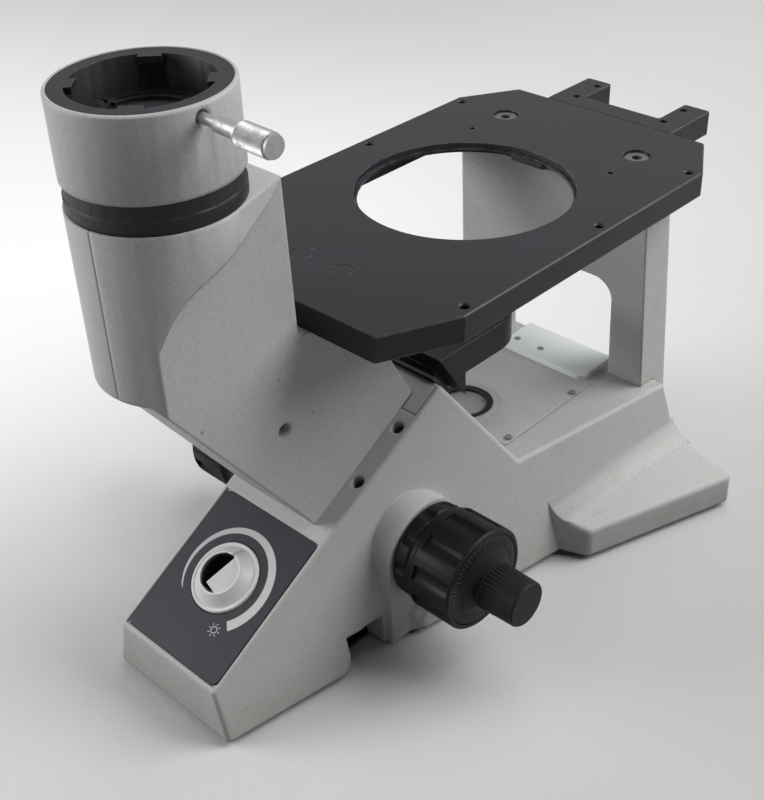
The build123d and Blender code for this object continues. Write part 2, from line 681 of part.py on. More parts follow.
# Ridge cover round the arm and the dark lip behind it
gap = 0.3
side_x = COVER_HALF - 0.2
cover = on_slope(RIDGE_COVER[0] + 0.2, RIDGE_COVER[1] - 0.2, -side_x, side_x, RIDGE_COVER_T, 0)
cover = cover - block(-ARM_HALF - gap, ARM_HALF + gap, -100, ARM_FOOT_REAR + gap, 60, 160)


def is_cover_corner(edge):
    mid = edge.center()
    return abs(mid.X) > COVER_HALF - 1 and mid.Y < RIDGE_COVER[0] + 1.3 and edge.length < 3


cover = fillet(cover.edges().filter_by(is_cover_corner), 1.6)
save(cover, "ridge_cover")

LIP_HALF = 31.0
apex_z = slope_z(APEX_Y)
lip_side = [
    (ridge_y(apex_z - 15.0), apex_z - 15.0),
    (ridge_y(apex_z - 15.0) + 2.4, apex_z - 15.0),
    (ridge_y(apex_z) + 2.6, apex_z + 0.6),
    (ridge_y(apex_z) + 1.2, apex_z + 2.0),
    (ridge_y(apex_z) - 1.0, apex_z + 2.0),
    (ridge_y(apex_z - 3.0), apex_z - 3.0),
]
lip = prism_x(lip_side, -LIP_HALF, LIP_HALF) - core
lip = lip - prism_x(slot_side, -SLOT[0], SLOT[0])
save(lip, "carriage_seal")

# Stage plate
half = STAGE_W / 2
outline = [
    (half, STAGE_FRONT + FRONT_CUT[1]),
    (half, STAGE_REAR - REAR_CUT[1]),
    (half - REAR_CUT[0], STAGE_REAR),
    (-half + REAR_CUT[0], STAGE_REAR),
    (-half, STAGE_REAR - REAR_CUT[1]),
    (-half, STAGE_FRONT + FRONT_CUT[1]),
    (-half + FRONT_CUT[0], STAGE_FRONT),
    (half - FRONT_CUT[0], STAGE_FRONT),
]
stage = prism_z(outline, STAGE_LOW, STAGE_TOP)
stage = fillet(stage.edges().filter_by(Axis.Z), 2.0)
stage = chamfer(stage.edges().group_by(Axis.Z)[-1], 0.6)
ledge_r = STAGE_HOLE_R - STAGE_LEDGE
stage = stage - post(0, 0, STAGE_LOW - 1, STAGE_TOP + 1, ledge_r)
stage = stage - post(0, 0, STAGE_TOP - 3.0, STAGE_TOP + 1, STAGE_HOLE_R)
pocket = block(-POCKET[0], POCKET[0], -POCKET[1], POCKET[1], STAGE_LOW - 1, STAGE_TOP - RIM_T)
stage = stage - fillet(pocket.edges().filter_by(Axis.Z), 8.0)
tab = [(-13.0, 56.0), (-11.5, 51.0), (8.0, 51.0), (12.6, 54.3), (12.6, 56.0)]
stage = stage + prism_z(tab, STAGE_TOP - RIM_T - 1.4, STAGE_TOP - 3.4)
SIDE_HOLES = [(half - 5.6, -86.9), (half - 5.6, 8.9), (half - 5.6, 84.3)]
for x, y in SIDE_HOLES:
    hole = post(x, y, STAGE_LOW - 1, STAGE_TOP + 1, 2.0)
    hole = hole + Pos(x, y, STAGE_TOP - 0.35) * Cone(2.0, 2.9, 0.9)
    for piece in both(hole):
        stage = stage - piece
SMALL_HOLES = [(45.1, 59.2)]
for x, y in SMALL_HOLES:
    for piece in both(post(x, y, STAGE_LOW - 1, STAGE_TOP + 1, 1.6)):
        stage = stage - piece
STAGE_BOLTS = (43.06, 85.15)
x, y = STAGE_BOLTS
for piece in both(post(x, y, STAGE_TOP - 6.5, STAGE_TOP + 1, 7.0)):
    stage = stage - piece
for piece in both(post(x, y, STAGE_LOW - 1, STAGE_TOP, 3.2)):
    stage = stage - piece
PLUG_R = 5.75
x, y = STAGE_FRONT_BOLTS
for piece in both(post(x, y, STAGE_TOP - 8, STAGE_TOP + 1, PLUG_R)):
    stage = stage - piece
for piece in both(post(x, y, STAGE_LOW - 1, STAGE_TOP, 2.7)):
    stage = stage - piece
BRACKET_BOLTS = (20.0, 108.0)
x, y = BRACKET_BOLTS
for piece in both(post(x, y, STAGE_LOW - 1, STAGE_LOW + 8, 2.0 + FIT)):
    stage = stage - piece
save(stage, "stage_plate")

x, y = STAGE_BOLTS
bolt = post(x, y, STAGE_TOP - 6.5, STAGE_TOP - 1.2, 6.7)
bolt = chamfer(bolt.edges().group_by(Axis.Z)[-1], 0.5)
bolt = bolt - Pos(x, y, STAGE_TOP - 4.2) * extrude(RegularPolygon(2.9, 6), amount=5.0)
bolt = bolt + post(x, y, STAGE_LOW - 16, STAGE_TOP - 6.5, 3.0)
save(both(bolt), "stage_bolts")

x, y = STAGE_FRONT_BOLTS
plug = post(x, y, STAGE_TOP - 3.0, STAGE_TOP - 0.1, PLUG_R - 0.12)
plug = chamfer(plug.edges().group_by(Axis.Z)[-1], 0.25)
save(both(plug), "stage_plugs")
bolt = post(x, y, STAGE_TOP - 8, STAGE_TOP - 3.0, 4.6) + post(x, y, STAGE_LOW - 14, STAGE_TOP - 8, 2.5)
bolt = bolt - Pos(x, y, STAGE_TOP - 5.5) * extrude(RegularPolygon(2.2, 6), amount=5.0)
save(both(bolt), "stage_front_bolts")

# Rear bracket
BRACKET = (40.8, 24.5, STAGE_REAR, STAGE_REAR + BRACKET_REACH)
BRACKET_LOW = STAGE_TOP - 13.0
TONGUE_LOW = STAGE_LOW - 6.0
bracket = block(-BRACKET[0], BRACKET[0], BRACKET[2], BRACKET[3], BRACKET_LOW, STAGE_TOP)
bracket = bracket - block(-BRACKET[1], BRACKET[1], BRACKET[2] + 13.5, BRACKET[3] + 1, 0, 400)
bracket = fillet(bracket.edges().filter_by(Axis.Z), 1.5)
bracket = chamfer(bracket.edges().group_by(Axis.Z)[-1], 0.5)
bracket = bracket + block(-34, 34, 96, BRACKET[2] + 13.0, TONGUE_LOW, STAGE_LOW)
bracket = bracket + block(-34, 34, BRACKET[2], BRACKET[2] + 13.0, TONGUE_LOW, BRACKET_LOW + 2)
for dy in (11.3, 31.0):
    for piece in both(post(28.9, BRACKET[2] + dy, BRACKET_LOW - 20, STAGE_TOP + 1, 2.2)):
        bracket = bracket - piece
for piece in both(post(BRACKET_BOLTS[0], BRACKET_BOLTS[1], 100, STAGE_LOW + 1, 2.2)):
    bracket = bracket - piece
save(bracket, "rear_bracket")
x, y = BRACKET_BOLTS
bolt = post(x, y, TONGUE_LOW - 4, TONGUE_LOW, 3.8) + post(x, y, TONGUE_LOW, STAGE_LOW + 6, 2.0)
bolt = bolt - Pos(x, y, TONGUE_LOW - 5) * extrude(RegularPolygon(1.7, 6), amount=3.0)
save(both(bolt), "bracket_bolts")

# Portal that carries the rear of the stage
LEG_LOW = 42.0
portal_side = [
    (PORTAL_FRONT, DECK_Z),
    (DECK_REAR, DECK_Z),
    (rear_y(LEG_LOW), LEG_LOW),
    (99.5, LEG_LOW),
    (91.5, STAGE_LOW - 14.5),
    (94.0, STAGE_LOW - 12.0),
    (94.0, STAGE_LOW),
    (PORTAL_FRONT - PORTAL_LEAN, STAGE_LOW),
]
portal = prism_x(portal_side, -100, 100)
top_half = PORTAL_HALF - PORTAL_TAPER
low_half = PORTAL_HALF + 0.6
front_outline = [(low_half, 40), (top_half, STAGE_LOW), (-top_half, STAGE_LOW), (-low_half, 40)]
front_view = make_face(Polyline(*front_outline, close=True))
front_solid = Pos(0, 150, 0) * extrude(Plane.XZ * front_view, amount=120)
portal = portal & front_solid
arch = block(-ARCH_HALF, ARCH_HALF, 40, 130, 20, ARCH_TOP)
arch = fillet(arch.edges().filter_by(Axis.Y).group_by(Axis.Z)[-1], 12.0)
portal = portal - arch
portal = portal - block(-36, 36, 88, 120, ARCH_TOP + 9, STAGE_LOW - 20)
for piece in both(block(ARCH_HALF + 5, PORTAL_HALF - 6, 88, 120, 58, 112)):
    portal = portal - piece
for piece in both(post(STAGE_BOLTS[0], STAGE_BOLTS[1], STAGE_LOW - 18, STAGE_LOW + 1, 3.0 + FIT)):
    portal = portal - piece
save(portal, "portal")

# Deck cover, its screws, rear plate, light port and dust glass
deck_half = DECK_COVER[0] - 0.2
deck = block(-deck_half, deck_half, DECK_COVER[1] + 0.2, DECK_COVER[2] - 0.2, 0, DECK_COVER_T)
deck = Pos(0, 0, DECK_Z - DECK_COVER_T) * deck
deck = fillet(deck.edges().filter_by(Axis.Z), 2.0)
PORT_R = 16.0
deck = deck + post(0, 0, DECK_Z, DECK_Z + 0.8, PORT_R + 2.6)
deck = deck - post(0, 0, 40, 90, PORT_R + FIT)
for x, y in DECK_SCREWS:
    for piece in both(post(x, y, 50, 80, 1.2)):
        deck = deck - piece
for x, y in PLATE_SCREWS:
    deck = deck - post(x, y, 50, 80, 1.4)
save(deck, "deck_cover")
screws = []
for x, y in DECK_SCREWS:
    screw = post(x, y, DECK_Z, DECK_Z + 1.0, 2.0) + post(x, y, DECK_Z - 3.8, DECK_Z, 1.0)
    screw = screw - block(x - 0.3, x + 0.3, y - 3, y + 3, DECK_Z + 0.5, DECK_Z + 2)
    screws += both(screw)
save(screws, "deck_screws")
x0, x1, y0, y1 = REAR_PLATE
plate = block(x0, x1, y0, y1, DECK_Z, DECK_Z + REAR_PLATE_T)
plate = fillet(plate.edges().filter_by(Axis.Z).group_by(Axis.Y)[0], 5.0)
plate = chamfer(plate.edges().group_by(Axis.Z)[-1], 0.4)
for x, y in PLATE_SCREWS:
    plate = plate - post(x, y, 50, 80, 1.4)
    plate = plate - post(x, y, DECK_Z + 1.6, 80, 2.1)
save(plate, "rear_plate")
screws = []
for x, y in PLATE_SCREWS:
    head = post(x, y, DECK_Z + 1.6, DECK_Z + 2.7, 2.0)
    screws.append(head + post(x, y, DECK_Z - 3.6, DECK_Z + 1.6, 1.2))
save(screws, "rear_plate_screws")

port = post(0, 0, DECK_Z - WALL, DECK_Z - DECK_COVER_T, PORT_FLANGE_R)
port = port + post(0, 0, DECK_Z - WALL, DECK_Z + 0.6, PORT_R)
port = port - post(0, 0, DECK_Z - 3.0, DECK_Z + 5, 12.6)
port = port - post(0, 0, DECK_Z - 10, DECK_Z + 5, 11.2)
save(port, "light_port")
save(post(0, 0, DECK_Z - 3.0, DECK_Z - 1.0, 12.5), "port_glass")

# First mirror below the light port
UNDER_DECK = DECK_Z - WALL
holder = block(-26, 26, -24, 24, UNDER_DECK - 3, UNDER_DECK)
holder = holder - post(0, 0, 20, 80, 12.0)
BEAM_Z = DECK_Z - 30.0
cheek = [
    (-14.0, BEAM_Z - 20.0),
    (14.0, BEAM_Z + 8.0),
    (14.0, UNDER_DECK - 2.0),
    (-14.0, UNDER_DECK - 2.0),
]
for piece in both(prism_x(cheek, 16, 19)):
    holder = holder + piece
back_plane = Plane(origin=(0, 0, BEAM_Z), x_dir=(1, 0, 0), z_dir=(0, -1, 1))
holder = holder + (back_plane * Pos(0, 0, -3) * Box(38, 34, 2.0))
save(holder, "mirror_block")
save((back_plane * Pos(0, 0, -1.0) * Box(30, 32, 2.0)), "base_mirror")

# Focus drive: bushings, hollow coarse shaft with pinion, fine shaft
bush = axle(FOCUS_Y, FOCUS_Z, 38, BOSS_X, 11.0) - axle(FOCUS_Y, FOCUS_Z, 30, 60, SHAFT_R + FIT)
save(both(bush), "focus_bushings")
KNOB_IN = BOSS_X + 0.6
RING_OUT = 63.6
teeth = 18
star = []
for index in range(teeth * 2):
    radius = 6.4 if index % 2 == 0 else 5.4
    for shift in (-0.22, 0.22):
        angle = radians(180.0 * (index + shift) / teeth)
        star.append((radius * cos(angle), radius * sin(angle)))
pinion = extrude(make_face(Polyline(*star, close=True)), amount=12.0)
shaft = axle(FOCUS_Y, FOCUS_Z, -88, 88, SHAFT_R) + Pos(-6, FOCUS_Y, FOCUS_Z) * Rot(0, 90, 0) * pinion
shaft = shaft - axle(FOCUS_Y, FOCUS_Z, -100, 100, FINE_SHAFT_R + FIT)
save(shaft, "coarse_shaft")
save(axle(FOCUS_Y, FOCUS_Z, -108, 108, FINE_SHAFT_R), "fine_shaft")

# Knobs, drawn for the right side
centre = Pos(0, FOCUS_Y, FOCUS_Z)
outline = [
    (KNOB_IN, SHAFT_R + 0.35),
    (RING_OUT, SHAFT_R + 0.35),
    (RING_OUT, 23.6),
    (RING_OUT - 1.2, 24.6),
    (KNOB_IN + 1.2, 24.2),
    (KNOB_IN, 23.2),
]
ring = revolve(make_face(Polyline(*outline, close=True)), Axis.X)
for index in range(10):
    groove = Pos(60.0, 0, 0) * Rot(0, 90, 0) * Cylinder(5.0, 6.4)
    ring = ring - Rot(36 * index + 8, 0, 0) * Pos(0, 0, 24.6 + 3.4) * groove
save((centre * ring), "tension_ring")

FLANGE_R = 23.4


def coarse(inner):
    body = [
        (inner, SHAFT_R),
        (88.0, SHAFT_R),
        (88.0, FLANGE_R + 0.4),
        (COARSE_FRONT, FLANGE_R + 0.4),
        (COARSE_FRONT, COARSE_R - 1.0),
        (COARSE_FRONT - 1.0, COARSE_R),
        (68.0, COARSE_R),
        (66.4, COARSE_R - 1.6),
    ]
    if inner > RING_OUT:
        body += [(inner, COARSE_R - 1.6)]
    else:
        body += [(RING_OUT, 24.0), (RING_OUT - 1.2, 24.6), (inner + 1.2, 24.2), (inner, 23.2)]
    knob = revolve(make_face(Polyline(*body, close=True)), Axis.X)
    for index in range(10):
        groove = Pos(80.0, 0, 0) * Rot(0, 90, 0) * Cylinder(6.0, 21.0)
        knob = knob - Rot(36 * index, 0, 0) * Pos(0, 0, COARSE_R + 3.8) * groove
    return knob


save((centre * coarse(RING_OUT + 0.6)), "coarse_knob_right")
left = mirror(coarse(KNOB_IN), about=Plane.YZ)
save((centre * left), "coarse_knob_left")

fine_outline = [
    (88.4, FINE_SHAFT_R),
    (FINE_END - 4, FINE_SHAFT_R),
    (FINE_END - 4, 0.0),
    (FINE_END, 0.0),
    (FINE_END, FINE_R - 1.3),
    (FINE_END - 0.9, FINE_R - 0.6),
    (97.5, FINE_R),
    (96.6, FINE_R - 1.0),
    (95.4, FINE_R - 1.0),
    (92.4, FLANGE_R - 5.5),
    (91.8, FLANGE_R),
    (88.4, FLANGE_R),
]
fine = revolve(make_face(Polyline(*fine_outline, close=True)), Axis.X)
for index in range(36):
    groove = Pos(107.5, 0, 0) * Rot(0, 90, 0) * Cylinder(0.75, 18.4)
    fine = fine - Rot(10 * index, 0, 0) * Pos(0, 0, FINE_R + 0.1) * groove
save((centre * fine), "fine_knob_right")
save((centre * mirror(fine, about=Plane.YZ)), "fine_knob_left")

# Slide, rack and guide inside the ridge
SLIDE_HALF = 13.0
slide_side = [(-80.0, 40.0), (-64.0, 40.0), (-64.0, 96.0), (-70.0, 96.0), (-70.0, 90.0), (-80.0, 90.0)]
slide = prism_x(slide_side, -SLIDE_HALF, SLIDE_HALF)
save(slide, "focus_slide")
rack_face = FOCUS_Y + 6.5
rack = block(-5.5, 5.5, rack_face, -80.0, 42, 88)
for index in range(14):
    rack = rack - block(-6, 6, rack_face - 1, rack_face + 1.1, 43.6 + 3.2 * index, 45.2 + 3.2 * index)
save(rack, "focus_rack")
guide = block(SLIDE_HALF + FIT, GUIDE_HALF, -80, -64, 18, 90)
guide = guide + mirror(guide, about=Plane.YZ) + block(-GUIDE_HALF, GUIDE_HALF, -80, -64, 18, 28)
save(guide, "focus_guide")

# Nosepiece carriage: forked bracket with a round end, open on the optical axis
carriage_low = CARRIAGE_TOP - CARRIAGE_T
heel = CARRIAGE_FRONT + 19.5
tip_z = CARRIAGE_TOP - (heel - CARRIAGE_FRONT) / RUN
bracket_side = [
    (CARRIAGE_FRONT, CARRIAGE_TOP),
    (heel, tip_z),
    (heel, carriage_low),
    (CARRIAGE_HALF, carriage_low),
    (CARRIAGE_HALF, CARRIAGE_TOP),
]
carriage = prism_x(bracket_side, -CARRIAGE_HALF, CARRIAGE_HALF)
round_end = block(-CARRIAGE_HALF, CARRIAGE_HALF, -80, 0, 0, 200) + post(0, 0, 0, 200, CARRIAGE_HALF)
carriage = carriage & round_end
carriage = chamfer(carriage.edges().group_by(Axis.Z)[-1], 0.5)
groove_top = CARRIAGE_TOP + 1
groove_low = CARRIAGE_TOP - 5
dovetail = [(-17.0, groove_top), (-19.5, groove_low), (19.5, groove_low), (17.0, groove_top)]
channel_face = Plane.XZ * make_face(Polyline(*dovetail, close=True))
slot_solid = Pos(0, 5, 0) * extrude(channel_face, amount=44.0)
carriage = carriage - slot_solid - post(0, 5, CARRIAGE_TOP - 5, CARRIAGE_TOP + 1, 17.2)
carriage = carriage - post(0, 0, 60, 200, 14.0)
carriage = carriage - post(0, 0, 60, carriage_low + 4, 20.0)
neck = block(-12, 12, -38, heel + 2, 86, carriage_low + 1) + block(-12, 12, -64, -30, 86, 96)
carriage = carriage + neck
save(carriage, "nosepiece_carriage")

# Mains inlet
inlet = Pos(0, 0, -9) * Box(27.2, 20.0, 20.0) + Pos(0, 0, 1.0) * Box(31.0, 24.0, 2.0)
inlet = inlet - Pos(0, 0, -5) * Box(22.0, 15.0, 18.0)
inlet = inlet + Pos(0, 1.8, -8) * Box(2.0, 4.0, 13.0)
inlet = inlet + Pos(-6.5, -2.0, -8) * Box(2.0, 4.0, 13.0) + Pos(6.5, -2.0, -8) * Box(2.0, 4.0, 13.0)
save((inlet_frame * inlet), "power_inlet")
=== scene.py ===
"""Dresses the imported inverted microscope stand: finishes, printed signs, studio and camera."""

import math

import bmesh
import bpy
from mathutils import Matrix, Vector


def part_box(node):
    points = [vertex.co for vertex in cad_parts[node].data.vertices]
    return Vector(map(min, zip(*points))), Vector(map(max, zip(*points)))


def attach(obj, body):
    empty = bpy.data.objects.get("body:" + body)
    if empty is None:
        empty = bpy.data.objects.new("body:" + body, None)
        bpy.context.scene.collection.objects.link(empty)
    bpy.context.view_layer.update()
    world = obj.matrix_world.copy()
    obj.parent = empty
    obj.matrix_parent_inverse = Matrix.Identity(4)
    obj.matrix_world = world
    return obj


bl_info = {
    "name": "Inverted Microscope Finish",
    "version": (1, 0, 0),
    "blender": (4, 5, 0),
    "location": "View3D > Sidebar > Microscope",
    "description": "Paint, printed signs and studio for the inverted microscope stand",
    "category": "Object",
}

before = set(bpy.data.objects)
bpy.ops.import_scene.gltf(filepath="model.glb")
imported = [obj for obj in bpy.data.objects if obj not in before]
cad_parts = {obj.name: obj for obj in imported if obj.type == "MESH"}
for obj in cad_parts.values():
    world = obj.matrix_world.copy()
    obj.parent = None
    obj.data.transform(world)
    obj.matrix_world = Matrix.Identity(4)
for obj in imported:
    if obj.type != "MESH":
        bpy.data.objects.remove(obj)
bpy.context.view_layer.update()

# The plane of the front slope, which meets the optical axis at SLOPE_HEIGHT
SLOPE_ANGLE = math.radians(30.1)
SLOPE_HEIGHT = 0.1548
OPTICAL_Y = 0.0291

# Edges of the solids: the gap that is closed first, and the angle between faces that is rounded off
WELD_GAP = 0.00001
EDGE_ANGLE = math.radians(35.0)
EDGE_SEGMENTS = 2

# Body paint: heights over which the darkening towards the table and the knocks fade out, how far shading
# rounds the edges, and how far chips reach in from them
LOW_DARKENING_FADE = (0.004, 0.03)
KNOCK_FADE = (0.012, 0.035)
PAINT_ROUND = 0.002
PAINT_CHIP_EDGE = 0.0011

# Radius over which the edges of the other finishes look rubbed; the lighter knob edges are partly a painted
# highlight
METAL_RUB_EDGE = 0.0007
KNOB_WEAR_AND_HIGHLIGHT_EDGE = 0.0008
DIAL_RUB_EDGE = 0.0006

# Flange of the fine knobs: its rim lies FLANGE_DEPTH behind the end of the knob, and it falls
# FLANGE_FALL metres for each metre outwards
FLANGE_R = 0.0234
FLANGE_DEPTH = 0.0261
FLANGE_FALL = 0.109

# Marks on that flange, with their ends as shares of its radius
MARK_COUNT = 60
MARK_LONG_EVERY = 5
MARK_LONG_START = 0.83
MARK_START = 0.89
MARK_STOP = 0.985
MARK_HALF = 0.00013
MARK_LIFT = 0.00003
MARK_SHADE = 0.16

# Painted shade in the finger well of the lamp dial: where it fades at the well's rim and at the edge of the
# grip, and how the grip is turned
WELL_RIM = (0.0101, 0.0103)
GRIP_EDGE = (-0.0016, -0.0012)
GRIP_TURN = math.radians(-17.0)

# Printing on the control film
PRINT_LIFT = 0.00042
PRINT_THICK = 0.00004
ARC_START = math.radians(222.0)
ARC_SWEEP = math.radians(267.0)
ARC_STEPS = 72
ARC_THIN = 0.0003
ARC_GAIN = 0.0047
ARC_CURVE = 0.6
SUN_REACH = 0.0262
SUN_TURN = math.radians(-60.0)
SUN_R = 0.0018
SUN_HOLE_R = 0.0014
SUN_STEPS = 24
RAY_COUNT = 8
RAY_START = 0.0024
RAY_STOP = 0.0034
RAY_HALF = 0.0002

# Scales of a noise that draw it out to lines: tool lines of metal, scuffs of paint, scratches
LINES_ALONG_X = (1.0, 6.0, 6.0)
LINES_ACROSS_X = (6.0, 1.0, 1.0)
LINES_ACROSS_Z = (1.0, 1.0, 6.0)
SCUFF_LINES = (1.0, 1.0, 14.0)
SCRATCH_LINES = (1.0, 16.0, 1.0)

# Floor: the tones that are seen, painted darker at the right and back and paler at the left and front as
# painted light and shade, the tone that other light meets, where the painted light fades, and the squared
# distances over which the floor fades out
FLOOR_HALF = 6.0
FLOOR_DROP = 0.0002
FLOOR_DIM = (0.39, 0.384, 0.382)
FLOOR_MIDDLE = (0.42, 0.413, 0.411)
FLOOR_PAINTED_LIGHT = (0.95, 0.936, 0.93)
FLOOR_BOUNCE = (0.24, 0.24, 0.24)
FLOOR_SIDES = (0.35, -0.45)
FLOOR_DEPTHS = (0.0, 0.7)
FLOOR_FADE = (0.5, 2.6)

# The sky's strength as light, and as the pale wall that is seen
SKY_LIGHT = 0.12
SKY_SEEN = 0.64

# Lamps: name, place, width of the disc and power in watts
LAMPS = (
    ("key_lamp", Vector((0.1, 0.6, 2.0)), 1.4, 15.0),
    ("right_lamp", Vector((0.8, 0.75, 1.05)), 1.1, 19.0),
    ("left_lamp", Vector((-1.5, -1.4, 1.0)), 1.4, 35.0),
)
LAMP_AIM = Vector((0.0, -0.03, 0.13))

# Camera: turned to the left, dropped below the horizon and rolled by these angles
CAMERA_PLACE = Vector((0.37717, -0.41245, 0.46788))
CAMERA_TURN = math.radians(44.95)
CAMERA_DROP = math.radians(34.64)
CAMERA_ROLL = math.radians(-2.36)
CAMERA_SENSOR = 36.0
CAMERA_NEAR = 0.01


class Wire:
    """One shader socket. Arithmetic on it adds Math nodes."""

    def __init__(self, tree, socket):
        self.tree = tree
        self.socket = socket

    def calc(self, operation, first, second):
        """Adds a Math node on two wires or numbers."""
        math_node = self.tree.nodes.new("ShaderNodeMath")
        math_node.operation = operation
        for place, value in enumerate((first, second)):
            if isinstance(value, Wire):
                self.tree.links.new(value.socket, math_node.inputs[place])
            else:
                math_node.inputs[place].default_value = value
        return Wire(self.tree, math_node.outputs[0])

    def __add__(self, other):
        return self.calc("ADD", self, other)

    def __radd__(self, other):
        return self.calc("ADD", other, self)

    def __sub__(self, other):
        return self.calc("SUBTRACT", self, other)

    def __rsub__(self, other):
        return self.calc("SUBTRACT", other, self)

    def __mul__(self, other):
        return self.calc("MULTIPLY", self, other)

    def __rmul__(self, other):
        return self.calc("MULTIPLY", other, self)

    def larger(self, other):
        return self.calc("MAXIMUM", self, other)


class Finish:
    """The nodes of one material or world, built from expressions on wires."""

    def __init__(self, owner):
        self.owner = owner
        self.owner.use_nodes = True
        self.tree = self.owner.node_tree
        self.tree.nodes.clear()
        self.coordinates = None

    @property
    def place(self):
        """The place on the piece, from a node that is added on first use."""
        if self.coordinates is None:
            self.coordinates = self.node("ShaderNodeTexCoord", output="Object")
        return self.coordinates

    def node(self, kind, settings=None, inputs=None, output=0):
        """Adds a node, sets it up and links its sockets; returns the wire of one output."""
        made = self.tree.nodes.new(kind)
        for key, value in (settings or {}).items():
            setattr(made, key, value)
        for key, value in (inputs or {}).items():
            if isinstance(value, Wire):
                self.tree.links.new(value.socket, made.inputs[key])
            else:
                made.inputs[key].default_value = value
        return Wire(self.tree, made.outputs[output]) if made.outputs else made

    def part(self, axis):
        """X, Y or Z of the place."""
        return self.node("ShaderNodeSeparateXYZ", {}, {"Vector": self.place}, axis)

    def along(self, row):
        """Distance along one row of an inverted place matrix."""
        return self.dot(self.place, tuple(row[:3])) + row[3]

    def noise(self, scale, detail=2.0, roughness=0.5, stretch=None):
        spot = self.place
        if stretch:
            spot = self.node("ShaderNodeMapping", {}, {"Vector": spot, "Scale": stretch})
        sockets = {"Vector": spot, "Scale": scale, "Detail": detail, "Roughness": roughness}
        return self.node("ShaderNodeTexNoise", {}, sockets)

    def band(self, value, low, high):
        """Goes smoothly from 0 at low to 1 at high."""
        sockets = {"Value": value, "From Min": low, "From Max": high}
        return self.node("ShaderNodeMapRange", {"interpolation_type": "SMOOTHSTEP"}, sockets)

    def mix(self, share, first, second):
        """Goes from the first colour to the second as share goes from 0 to 1."""
        sockets = {"Factor": share, 6: first, 7: second}
        return self.node("ShaderNodeMix", {"data_type": "RGBA"}, sockets, 2)

    def dot(self, first, second):
        sockets = {0: first, 1: second}
        return self.node("ShaderNodeVectorMath", {"operation": "DOT_PRODUCT"}, sockets, "Value")

    def rounded(self, radius):
        """Normals that are rounded off at edges over this radius."""
        return self.node("ShaderNodeBevel", {"samples": 6}, {"Radius": radius})

    def edge(self, radius):
        """1 on sharp edges, 0 on flats."""
        flat = self.node("ShaderNodeNewGeometry", output="Normal")
        return self.band(1 - self.dot(self.rounded(radius), flat), 0.02, 0.2)

    def bump(self, height, strength, distance, normal=None):
        sockets = {"Height": height, "Strength": strength, "Distance": distance}
        if normal is not None:
            sockets["Normal"] = normal
        return self.node("ShaderNodeBump", {}, sockets)

    def seen(self):
        """1 on rays from the camera, from gloss or through glass, 0 on other light."""
        wire = self.node("ShaderNodeLightPath", output="Is Camera Ray")
        for name in ("Is Glossy Ray", "Is Transmission Ray"):
            wire = wire.larger(self.node("ShaderNodeLightPath", output=name))
        return wire

    def surface(self, **sockets):
        """Ends the material in a principled surface; names use _ for a blank."""
        inputs = {key.replace("_", " "): value for key, value in sockets.items()}
        body = self.node("ShaderNodeBsdfPrincipled", {}, inputs)
        self.node("ShaderNodeOutputMaterial", {}, {"Surface": body})
        return self.owner


def new_finish(name):
    return Finish(bpy.data.materials.new(name))


def shade(colour, factor=1.0):
    """The colour times factor, with full alpha."""
    return (colour[0] * factor, colour[1] * factor, colour[2] * factor, 1.0)


def grained_paint(colours):
    """Pale body paint: fine orange-peel grain, uneven tone, grime in blotches, darker towards the table, a
    few scuffs and chips.
    """
    finish = new_finish("body_paint")
    height = finish.part("Z")
    tone = finish.noise(14.0, detail=3.0)
    grain = finish.noise(1100.0, detail=3.0, roughness=0.65)
    base = finish.mix(tone, shade(colours.paint, 0.95), shade(colours.paint, 1.04))
    speckled = finish.mix(finish.band(grain, 0.35, 0.65), shade(colours.paint, 0.86), base)

    blotch = finish.band(finish.noise(55.0, detail=6.0, roughness=0.65), 0.56, 0.74)
    # Darker towards the table: in the lowest few centimetres the paint is mixed towards the grime colour.
    low = 1 - finish.band(height, *LOW_DARKENING_FADE)
    grime_and_low_darkening = blotch * 0.16 + low * finish.noise(90.0, detail=4.0) * 0.45
    dirty = finish.mix(grime_and_low_darkening, speckled, shade(colours.grime_and_low_darkening))
    scuff = finish.band(finish.noise(26.0, stretch=SCUFF_LINES), 0.72, 0.78)
    marked = finish.mix(scuff * 0.3, dirty, shade(colours.paint, 0.6))

    near_foot = 1 - finish.band(height, *KNOCK_FADE)
    knocks = finish.band(finish.noise(75.0, detail=4.0, roughness=0.6), 0.58, 0.64)
    pits = finish.band(finish.noise(230.0, roughness=0.4), 0.765, 0.79)
    chip = finish.edge(PAINT_CHIP_EDGE) * knocks * (near_foot * 0.85 + 0.1) + pits * 0.45
    return finish.surface(
        Base_Color=finish.mix(chip, marked, shade(colours.chip)),
        Roughness=finish.band(tone, 0.2, 0.8) * 0.08 + 0.46,
        Normal=finish.bump(grain, 0.3, 0.0002, finish.rounded(PAINT_ROUND)),
        Specular_IOR_Level=0.4,
    )


def worn_black(name, colours, colour, rough, bright, grain, depth):
    """Blackened metal whose edges are rubbed down to bare metal."""
    finish = new_finish(name)
    fine = finish.noise(grain, detail=3.0, roughness=0.6)
    cloud = finish.noise(22.0, detail=4.0)
    patchy = finish.band(finish.noise(140.0, detail=4.0, roughness=0.7), 0.42, 0.62)
    rubbed = finish.edge(METAL_RUB_EDGE) * patchy
    line = finish.band(finish.noise(42.0, stretch=SCRATCH_LINES), 0.71, 0.76)
    base = finish.mix(cloud, shade(colour, 0.8), shade(colour, 1.25))
    scratched = finish.mix(line * 0.25, base, shade(colour, 3.0))
    return finish.surface(
        Base_Color=finish.mix(rubbed * bright, scratched, shade(colours.bare)),
        Roughness=cloud * 0.12 + rough,
        Normal=finish.bump(fine, depth, 0.00012),
        Specular_IOR_Level=0.27,
    )


